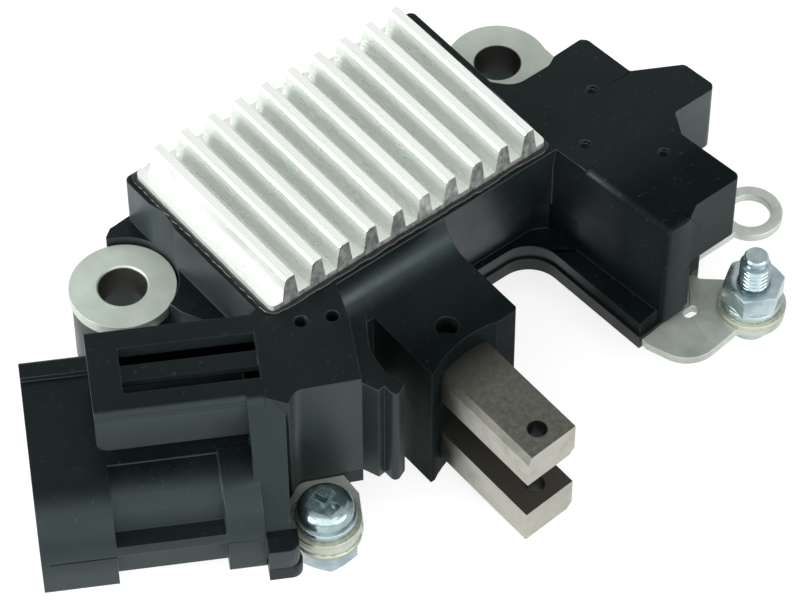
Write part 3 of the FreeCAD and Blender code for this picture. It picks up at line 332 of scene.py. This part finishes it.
def sealant():
    """Glossy black sealant, wavy where it was pressed out"""
    made = Material("sealant")
    made.drive("Base Color", made.mix(made.noise(300), (0.003, 0.003, 0.004), (0.010, 0.011, 0.012)))
    made.set(Roughness=0.14)
    made.bump(made.noise(260, 3), 0.35, 0.12)
    return made.block


def plated_steel(name, dark, pale, smooth, rough, metallic, holes=()):
    """Plated steel: cloudy tint, fine scratches and a soft grain, with painted shade inside its holes"""
    painted_hole_shade_grey = (0.045, 0.047, 0.040)
    made = Material(name)
    skin = made.mix(made.fade(made.noise(180, 5, 0.65), 0.35, 0.65), dark, pale)
    # Painted shade inside the ear holes
    for hole in holes:
        skin = made.mix(made.near_axis(hole, EAR_HOLE_REACH), skin, painted_hole_shade_grey)
    made.drive("Base Color", skin)
    made.set(Metallic=metallic)
    made.drive("Roughness", made.span(made.noise(700, 4), 0.3, 0.7, smooth, rough))
    scratch = made.bump(made.noise(900, 2, 0.5, (1, 8, 1), (0, 0, 0.6)), 0.2, 0.02)
    made.bump(made.noise(1800, 3), 0.25, 0.02, scratch)
    return made.block


def carbon():
    """Pressed carbon: dark and grainy above and below, with a pale painted sheen on its sides and end,
    painted shade near the block and in its hole, and a painted shadow on the lower brush
    """
    painted_side_shade = (0.05, 0.05, 0.042)
    painted_shadow_black = (0.030, 0.028, 0.022)
    painted_block_shade_black = (0.022, 0.022, 0.019)
    painted_hole_shade_black = (0.008, 0.008, 0.008)
    made = Material("carbon")
    steep = made.node("ShaderNodeMath", operation="ABSOLUTE")
    made.link(made.part(made.normal, "Z"), steep.inputs[0])
    level = made.fade(steep.outputs["Value"], 0.25, 0.6)
    speck = made.fade(made.noise(1300, 5, 0.75), 0.3, 0.7)
    dark = made.mix(speck, (0.050, 0.051, 0.042), (0.115, 0.118, 0.095))
    # Painted shadow: the level faces low down, on the lower brush under the upper one, are darker
    dark = made.mix(made.past("Z", -7, -8), dark, painted_shadow_black)
    # Painted shade: the level faces are darker towards the block
    dark = made.mix(made.past("Y", -42, -36), dark, painted_block_shade_black)
    # Painted sheen: the upright sides and end are pale
    painted_shine = made.mix(made.noise(320, 5, 0.7, (0.5, 1, 1)), (0.26, 0.255, 0.22), (0.46, 0.455, 0.40))
    ragged = made.span(made.noise(300, 4, 0.6), 0.3, 0.7, -0.2, 0.2)
    # Painted shade: the sides are darker towards the block, with a ragged edge
    near_block_shade = made.combine("ADD", made.past("Y", -44, -37), ragged)
    side = made.mix(made.fade(near_block_shade, 0, 1), painted_shine, painted_side_shade)
    # Painted shade inside the brush's hole
    in_hole = made.near_axis(BRUSH_HOLE, BRUSH_HOLE_REACH)
    made.drive("Base Color", made.mix(in_hole, made.mix(level, side, dark), painted_hole_shade_black))
    made.set(Metallic=0.45)
    made.drive("Roughness", made.span(level, 0, 1, 0.36, 0.62))
    fine = made.bump(speck, 0.35, 0.04)
    made.bump(made.noise(260, 3), 0.3, 0.10, fine)
    return made.block


def plain_kind(name, first, second, roughness, metallic=0.0):
    """A quiet material for the pieces that are sealed inside"""
    made = Material(name)
    made.drive("Base Color", made.mix(made.noise(400, 4), first, second))
    made.set(Roughness=roughness, Metallic=metallic)
    made.bump(made.noise(900, 3), 0.15, 0.02)
    return made.block


def dress_nodes():
    """Gives each node its finish; the plated fasteners without an entry are bright zinc"""
    plastic = moulded_plastic("moulded_plastic", (0.0024, 0.0038, 0.0042), (0.0050, 0.0076, 0.0082),
                              0.30, 0.46)
    # A lighter copy of the plastic for the housing's bevel faces: painted highlights on its edges
    painted_shine = moulded_plastic("painted_edge_highlights", (0.006, 0.009, 0.0095), (0.015, 0.020, 0.021), 0.26, 0.40)
    tinned = plated_steel("tinned_strip", (0.34, 0.38, 0.34), (0.50, 0.54, 0.49), 0.28, 0.44, 0.4)
    tinned_ring = plated_steel("tinned_ring", (0.46, 0.50, 0.46), (0.64, 0.68, 0.63), 0.28, 0.44, 0.4)
    ear = plated_steel("ear_steel", (0.47, 0.54, 0.47), (0.58, 0.65, 0.58), 0.34, 0.48, 0.4, EAR_HOLES)
    washer = plated_steel("olive_washer", (0.34, 0.36, 0.28), (0.52, 0.54, 0.44), 0.26, 0.42, 0.7)
    screw = plated_steel("dark_zinc", (0.20, 0.28, 0.29), (0.42, 0.52, 0.53), 0.16, 0.30, 0.95)
    zinc = plated_steel("bright_zinc", (0.26, 0.35, 0.38), (0.50, 0.58, 0.60), 0.16, 0.32, 0.9)
    copper = plain_kind("copper_braid", (0.50, 0.22, 0.12), (0.72, 0.38, 0.22), 0.4, 1.0)
    spring = plain_kind("spring_wire", (0.30, 0.30, 0.30), (0.45, 0.45, 0.45), 0.35, 1.0)
    brush = carbon()
    silicon = plain_kind("chip_body", (0.02, 0.02, 0.03), (0.06, 0.06, 0.07), 0.3)
    finishes = {
        "housing": plastic,
        "base_layer": base_plastic(),
        "heat_sink": cast_aluminium(),
        "sealant_bead": sealant(),
        "left_ear_bush": ear,
        "right_ear_plate": ear,
        "screw_terminal_plate": tinned,
        "stud_terminal_plate": tinned,
        "ring_terminal": tinned_ring,
        "connector_blades": tinned,
        "terminal_screw": screw,
        "screw_plain_washer": washer,
        "screw_back_washer": washer,
        "stud_plain_washer": washer,
        "upper_brush_contact": tinned,
        "lower_brush_contact": tinned,
        "upper_brush": brush,
        "lower_brush": brush,
        "upper_brush_spring": spring,
        "lower_brush_spring": spring,
        "upper_brush_lead": copper,
        "lower_brush_lead": copper,
        "circuit_substrate": plain_kind("ceramic", (0.75, 0.75, 0.70), (0.85, 0.85, 0.80), 0.6),
        "control_chip": silicon,
        "output_transistor": silicon,
        "potting_gel": plain_kind("clear_gel", (0.55, 0.56, 0.50), (0.70, 0.70, 0.64), 0.2),
    }
    for name, node in NODES.items():
        node.data.materials.clear()
        node.data.materials.append(finishes.get(name, zinc))
    # Second material of the housing: the painted highlights on its bevel faces
    NODES["housing"].data.materials.append(painted_shine)


# Rounded edges

EDGE_WIDTH = {
    "housing": 0.11,
    "base_layer": 0.12,
    "left_ear_bush": 0.06,
    "right_ear_plate": 0.1,
    "screw_terminal_plate": 0.12,
    "stud_terminal_plate": 0.14,
    "ring_terminal": 0.15,
    "stud_nut": 0.12,
    "screw_nut": 0.12,
    "stud_plain_washer": 0.1,
    "screw_plain_washer": 0.1,
    "stud_spring_washer": 0.1,
    "screw_spring_washer": 0.1,
    "terminal_screw": 0.12,
}
FLAT_FACES = ("upper_brush", "lower_brush", "heat_sink")
WELD_GAP = 0.001
CREASE = math.radians(35)
THREAD_CREASE = math.radians(40)


def even_faces(piece):
    """Keeps the flat faces between soft edges flat"""
    even = piece.modifiers.new("even_faces", "WEIGHTED_NORMAL")
    even.keep_sharp = True


def round_edges():
    """Soft edges on the moulded and stamped pieces, and clean shading between them"""
    for name, node in NODES.items():
        smooth = name not in FLAT_FACES
        node.data.polygons.foreach_set("use_smooth", [smooth] * len(node.data.polygons))
        weld = node.modifiers.new("join_corners", "WELD")
        weld.merge_threshold = WELD_GAP * MM
        if name in EDGE_WIDTH:
            bevel = node.modifiers.new("soft_edges", "BEVEL")
            bevel.width = EDGE_WIDTH[name] * MM
            bevel.segments = 2
            bevel.limit_method = "ANGLE"
            bevel.angle_limit = CREASE
            if name == "housing":
                bevel.material = 1      # the bevel faces take the lighter plastic, as painted highlights on the edges
                bevel.use_clamp_overlap = False
        if smooth:
            even_faces(node)
            node.data.set_sharp_from_angle(angle=CREASE)


# Pieces that the solids keep plain

TURN_STEPS = 36
WIRE_SIDES = 8

# Thread of the stud, and the lengths of its plain parts
THREAD_PITCH = 0.7
THREAD_DEPTH = 0.38
PITCH_STEPS = 8
STUD_RADIUS = 2.0
STUD_HEAD = 3.2
STUD_HEAD_EDGE = 0.6
STUD_SHANK = 3.4
STUD_POINT = 1.3
STUD_POINT_STEP = 0.45
STUD_POINT_EDGE = 0.2
THREAD_RUN_OUT = 0.1

# Sealant bead: its middle line on the solid frame, and its size before the waves
BEAD_RISE = 0.35
BEAD_INSET = 0.25
BEAD_CORNER = 1.0
BEAD_SPACING = 0.22
BEAD_OUT = 0.46
BEAD_IN = 0.26
BEAD_UP = 0.28
BEAD_CORNER_STEPS = 4
# Waves of the bead: how close together, where in the noise, and how large
OUTWARD_WAVES = ((0.35, 3.0, 0.26), (1.1, 7.0, 0.18))
UPWARD_WAVES = ((0.5, 11.0, 0.12),)

# Springs and leads
SPRING_WIRE = 0.5
SPRING_TURNS = 6
COIL_STEPS = 24
BRAID_STEPS = 60
BRAID_WAVES = 3
BRAID_SWAY = 0.25

# Skin of the plug's root flange, 0.02 outside the solid. Its section lies across the plug and above the
# underside: the edge on top of the hood, the round below it, and the foot with the inner side.
SKIN_TOP_EDGE = ((10.6, 19.0), (10.6, 20.02))
SKIN_ROUND_CENTRE = (12.0, 18.4)
SKIN_ROUND = 1.62
SKIN_ROUND_ANGLE = math.radians(58.6)
SKIN_ROUND_STEPS = 6
SKIN_FOOT = ((21.83, 5.42), (20.6, 5.42), (11.9, 18.6))
# Its two ends along the plug, and how far the far end leans out between two heights
SKIN_NEAR_END = -18.17
SKIN_FAR_END = -21.93
SKIN_LEAN = 0.77
SKIN_LEAN_HEIGHTS = (9.0, 20.0)


def add_object(name, data):
    made = bpy.data.objects.new(name, data)
    bpy.context.scene.collection.objects.link(made)
    return made


def add_piece(name, mesh, like):
    """Puts a mesh on the holder, in the finish of a node"""
    mesh.materials.append(NODES[like].data.materials[0])
    piece = add_object(name, mesh)
    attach(piece, "holder")
    return piece


def smooth_mesh(name, vertices, faces):
    mesh = bpy.data.meshes.new(name)
    mesh.from_pydata(vertices, [], faces)
    mesh.polygons.foreach_set("use_smooth", [True] * len(faces))
    return mesh


def inner_box(name):
    """Low and high corner of a node in millimetres"""
    return [[corner / MM for corner in place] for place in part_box(name)]


def joined_rings(count, sides, closed=False):
    """Faces between rings of points that are numbered one ring after another"""
    faces = []
    for ring in range(count if closed else count - 1):
        here, there = ring * sides, (ring + 1) % count * sides
        for side in range(sides):
            follow = (side + 1) % sides
            faces.append((here + side, there + side, there + follow, here + follow))
    return faces


def lathe_mesh(name, centre, profile):
    """Turned piece from pairs of radius and height; a radius may depend on the angle"""
    vertices = []
    for radius, height in profile:
        for step in range(TURN_STEPS):
            angle = 2 * math.pi * step / TURN_STEPS
            reach = radius(angle) if callable(radius) else radius
            vertices.append(((centre[0] + reach * math.cos(angle)) * MM,
                             (centre[1] + reach * math.sin(angle)) * MM, height * MM))
    faces = [(face[0], face[3], face[2], face[1]) for face in joined_rings(len(profile), TURN_STEPS)]
    faces.append(tuple(reversed(range(TURN_STEPS))))
    faces.append(tuple(range(len(vertices) - TURN_STEPS, len(vertices))))
    mesh = smooth_mesh(name, vertices, faces)
    mesh.set_sharp_from_angle(angle=THREAD_CREASE)
    return mesh


def thread_radius(height):
    """Radius round the thread at one height: a vee with a rounded crest"""
    def reach(angle):
        place = (height / THREAD_PITCH - angle / (2 * math.pi)) % 1
        vee = abs(2 * place - 1)
        return STUD_RADIUS - THREAD_DEPTH * (0.5 + 0.5 * math.cos(math.pi * vee))
    return reach


def add_stud():
    """Stud with a vee thread, a plain shank and a narrower point"""
    low, high = inner_box("terminal_stud")
    centre = ((low[0] + high[0]) / 2, (low[1] + high[1]) / 2)
    head = (high[0] - low[0]) / 2
    seat = low[2] + STUD_HEAD
    thread_start, thread_end = seat + STUD_SHANK, high[2] - STUD_POINT
    profile = [(head - STUD_HEAD_EDGE, low[2]), (head, low[2] + STUD_HEAD_EDGE), (head, seat),
               (STUD_RADIUS, seat), (STUD_RADIUS, thread_start - THREAD_RUN_OUT)]
    steps = round((thread_end - thread_start) / THREAD_PITCH * PITCH_STEPS)
    for step in range(steps + 1):
        height = thread_start + (thread_end - thread_start) * step / steps
        profile.append((thread_radius(height), height))
    point = STUD_RADIUS - STUD_POINT_STEP
    profile += [(point, thread_end + THREAD_RUN_OUT), (point, high[2] - STUD_POINT_EDGE),
                (point - STUD_POINT_EDGE, high[2])]
    mesh = lathe_mesh("threaded_stud", centre, profile)
    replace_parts(add_piece("threaded_stud", mesh, "terminal_stud"), "terminal_stud")


def bead_path(low, high):
    """Points round the heat sink, with rounded corners, and the outward direction at each"""
    left, front, right, back = (low[0] + BEAD_CORNER, low[1] + BEAD_CORNER,
                                high[0] - BEAD_CORNER, high[1] - BEAD_CORNER)
    points = []
    for x, y, start in ((right, front, -90), (right, back, 0), (left, back, 90), (left, front, 180)):
        for step in range(BEAD_CORNER_STEPS + 1):
            angle = math.radians(start + 90 * step / BEAD_CORNER_STEPS)
            points.append((x + BEAD_CORNER * math.cos(angle), y + BEAD_CORNER * math.sin(angle), angle))
    path = []
    for index, (x, y, angle) in enumerate(points):
        after = points[(index + 1) % len(points)]
        count = max(1, round(math.dist((x, y), after[:2]) / BEAD_SPACING))
        for step in range(count):
            share = step / count
            turn = angle if count > 1 else angle + share * (after[2] - angle)
            path.append((x + share * (after[0] - x), y + share * (after[1] - y), turn))
    return path


def waviness(x, y, waves):
    return sum(size * noise.noise(Vector((x * scale, y * scale, layer))) for scale, layer, size in waves)


def add_bead():
    """Sealant pressed out round the heat sink in a wavy, uneven bead"""
    low, high = inner_box("sealant_bead")
    rim = high[2] - BEAD_RISE
    path = bead_path([low[0] + BEAD_INSET, low[1] + BEAD_INSET], [high[0] - BEAD_INSET, high[1] - BEAD_INSET])
    vertices = []
    for x, y, angle in path:
        wide = BEAD_OUT + waviness(x, y, OUTWARD_WAVES)
        tall = BEAD_UP + waviness(x, y, UPWARD_WAVES)
        for side in range(WIRE_SIDES):
            turn = 2 * math.pi * side / WIRE_SIDES
            reach = max(math.cos(turn) * wide, -BEAD_IN)
            vertices.append(((x + reach * math.cos(angle)) * MM,
                             min((y + reach * math.sin(angle)) * MM, cad_box[1][1]),
                             (rim + math.sin(turn) * tall) * MM))
    mesh = smooth_mesh("sealant_wave", vertices, joined_rings(len(path), WIRE_SIDES, closed=True))
    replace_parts(add_piece("sealant_wave", mesh, "sealant_bead"), "sealant_bead")


def tube_mesh(name, points, outwards, thick):
    """Round wire through points, with an outward direction at each"""
    vertices = []
    for index, (point, outward) in enumerate(zip(points, outwards)):
        ahead, behind = points[min(index + 1, len(points) - 1)], points[max(index - 1, 0)]
        along = (Vector(ahead) - Vector(behind)).normalized()
        across = along.cross(Vector(outward)).normalized()
        upward = across.cross(along)
        for side in range(WIRE_SIDES):
            turn = 2 * math.pi * side / WIRE_SIDES
            spoke = upward * math.cos(turn) + across * math.sin(turn)
            vertices.append((Vector(point) + spoke * thick / 2) * MM)
    faces = joined_rings(len(points), WIRE_SIDES)
    ends = [tuple(range(WIRE_SIDES)), tuple(reversed(range(len(vertices) - WIRE_SIDES, len(vertices))))]
    mesh = smooth_mesh(name, vertices, faces + ends)
    mesh.polygons.foreach_set("use_smooth", [True] * len(faces) + [False] * len(ends))
    return mesh


def coil_mesh(name, low, high):
    """Round wire wound along Y inside a box"""
    radius = (high[0] - low[0] - SPRING_WIRE) / 2
    centre = ((low[0] + high[0]) / 2, (low[2] + high[2]) / 2)
    steps = SPRING_TURNS * COIL_STEPS
    points, outwards = [], []
    for step in range(steps + 1):
        turn = 2 * math.pi * step / COIL_STEPS
        outward = (math.cos(turn), 0, math.sin(turn))
        forward = low[1] + SPRING_WIRE / 2 + (high[1] - low[1] - SPRING_WIRE) * step / steps
        points.append((centre[0] + radius * outward[0], forward, centre[1] + radius * outward[2]))
        outwards.append(outward)
    return tube_mesh(name, points, outwards, SPRING_WIRE)


def braid_mesh(name, low, high):
    """Lead that lies in slack waves along Y inside a box"""
    centre = ((low[0] + high[0]) / 2, (low[2] + high[2]) / 2)
    points = []
    for step in range(BRAID_STEPS + 1):
        share = step / BRAID_STEPS
        wave = BRAID_SWAY * math.sin(2 * math.pi * BRAID_WAVES * share) * math.sin(math.pi * share)
        points.append((centre[0] + wave, low[1] + (high[1] - low[1]) * share, centre[1]))
    return tube_mesh(name, points, [(0, 0, 1)] * len(points), high[2] - low[2])


def add_springs():
    """Springs and leads, as a coiled wire and a wavy braid in place of the plain solids"""
    for joint in frame["joints"]:
        for entry in joint["deforming_nodes"]:
            node, fixed = entry["node"], entry["fixed_end_y_m"]
            if node.endswith("spring"):
                name, shape, slot = node + "_coil", coil_mesh, "spring_steel"
            else:
                name, shape, slot = node + "_braid", braid_mesh, "copper_lead"
            piece = add_piece(name, shape(name, *inner_box(node)), node)
            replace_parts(piece, node)
            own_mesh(piece)


def plug_place(along, across, height):
    """A place on the plug's own axes, in the model's metres"""
    return ((PLUG_CORNER[0] + along * PLUG_ALONG[0] + across * PLUG_ACROSS[0]) * MM,
            (PLUG_CORNER[1] + along * PLUG_ALONG[1] + across * PLUG_ACROSS[1]) * MM,
            (UNDERSIDE + height) * MM)


def add_flange_skin():
    """One smooth face over the root flange, from the rounded top edge of the hood down to the foot"""
    section = list(SKIN_TOP_EDGE)
    for step in range(SKIN_ROUND_STEPS + 1):
        turn = SKIN_ROUND_ANGLE * step / SKIN_ROUND_STEPS
        section.append((SKIN_ROUND_CENTRE[0] + SKIN_ROUND * math.sin(turn),
                        SKIN_ROUND_CENTRE[1] + SKIN_ROUND * math.cos(turn)))
    section += SKIN_FOOT
    vertices = [plug_place(SKIN_NEAR_END, across, height) for across, height in section]
    low, high = SKIN_LEAN_HEIGHTS
    for across, height in section:
        reach = min(max((height - low) / (high - low), 0), 1)
        vertices.append(plug_place(SKIN_FAR_END - SKIN_LEAN * reach, across, height))
    count = len(section)
    ends = [tuple(range(count)), tuple(reversed(range(count, 2 * count)))]
    mesh = smooth_mesh("flange_skin", vertices, ends + joined_rings(2, count))
    mesh.set_sharp_from_angle(angle=CREASE)
    even_faces(add_piece("flange_skin", mesh, "housing"))


# Floor, lights and camera

def tree_node(tree, kind, **values):
    """A node with numbers or colours in its sockets"""
    made = tree.nodes.new(kind)
    for name, value in values.items():
        made.inputs[name].default_value = value
    return made


def switch_background(tree, lit, shown, output):
    """Lights with one shader, and shows another to the camera, in mirrors and through glass"""
    path = tree.nodes.new("ShaderNodeLightPath")
    seen = path.outputs["Is Camera Ray"]
    for name in ("Is Glossy Ray", "Is Transmission Ray"):
        either = tree.nodes.new("ShaderNodeMath")
        either.operation = "MAXIMUM"
        tree.links.new(seen, either.inputs[0])
        tree.links.new(path.outputs[name], either.inputs[1])
        seen = either.outputs[0]
    mix = tree.nodes.new("ShaderNodeMixShader")
    tree.links.new(seen, mix.inputs[0])
    tree.links.new(lit.outputs[0], mix.inputs[1])
    tree.links.new(shown.outputs[0], mix.inputs[2])
    tree.links.new(mix.outputs[0], tree.nodes.new(output).inputs[0])


def add_floor():
    """Pale floor that is seen as white, and keeps the part's shadow"""
    low = cad_box[0][2] - FLOOR_GAP * MM
    half = FLOOR_REACH * MM
    corners = [(-half, -half, low), (half, -half, low), (half, half, low), (-half, half, low)]
    mesh = smooth_mesh("floor", corners, [(0, 1, 2, 3)])
    floor = add_object("floor", mesh)
    block = bpy.data.materials.new("pale_floor")
    block.use_nodes = True
    tree = block.node_tree
    tree.nodes.clear()
    lit = tree_node(tree, "ShaderNodeBsdfDiffuse", Color=FLOOR_LIT_GREY)
    shadowed = tree_node(tree, "ShaderNodeBsdfDiffuse", Color=FLOOR_SEEN_GREY)
    glow = tree_node(tree, "ShaderNodeEmission", Strength=FLOOR_GLOW)
    shown = tree.nodes.new("ShaderNodeAddShader")
    tree.links.new(shadowed.outputs[0], shown.inputs[0])
    tree.links.new(glow.outputs[0], shown.inputs[1])
    switch_background(tree, lit, shown, "ShaderNodeOutputMaterial")
    mesh.materials.append(block)


def add_world():
    """Soft room, bright round the horizon and darker overhead, in front of a plain pale backdrop"""
    world = bpy.data.worlds.new("studio")
    bpy.context.scene.world = world
    world.use_nodes = True
    tree = world.node_tree
    tree.nodes.clear()
    direction = tree.nodes.new("ShaderNodeTexCoord")
    split = tree.nodes.new("ShaderNodeSeparateXYZ")
    tree.links.new(direction.outputs["Generated"], split.inputs["Vector"])
    sky = tree_node(tree, "ShaderNodeBackground", Strength=1.0)
    tree.links.new(map_range(tree, split.outputs["Z"], *SKY_HEIGHTS, SKY_LOW, SKY_HIGH), sky.inputs["Color"])
    backdrop = tree_node(tree, "ShaderNodeBackground", Color=BACKDROP_GREY, Strength=1.0)
    switch_background(tree, sky, backdrop, "ShaderNodeOutputWorld")


def add_lights():
    for name, (place, width, height, power) in SOFTBOXES.items():
        lamp = bpy.data.lights.new(name, "AREA")
        lamp.shape = "RECTANGLE"
        lamp.size = width
        lamp.size_y = height
        lamp.energy = power
        holder = add_object(name, lamp)
        holder.location = place
        holder.rotation_euler = (Vector(LIT_PLACE) - Vector(place)).to_track_quat("-Z", "Y").to_euler()


def add_camera():
    data = bpy.data.cameras.new("camera")
    data.sensor_width = SENSOR
    data.lens = LENS
    data.clip_start = NEAR_CLIP * MM
    camera = add_object("camera", data)
    camera.location = CAMERA_PLACE
    camera.rotation_euler = Euler([math.radians(angle) for angle in CAMERA_TURN], "XYZ")
    bpy.context.scene.camera = camera


bpy.context.scene.view_settings.view_transform = "Standard"
dress_nodes()
round_edges()
add_stud()
add_bead()
add_springs()
add_flange_skin()
add_floor()
add_world()
add_lights()
add_camera()
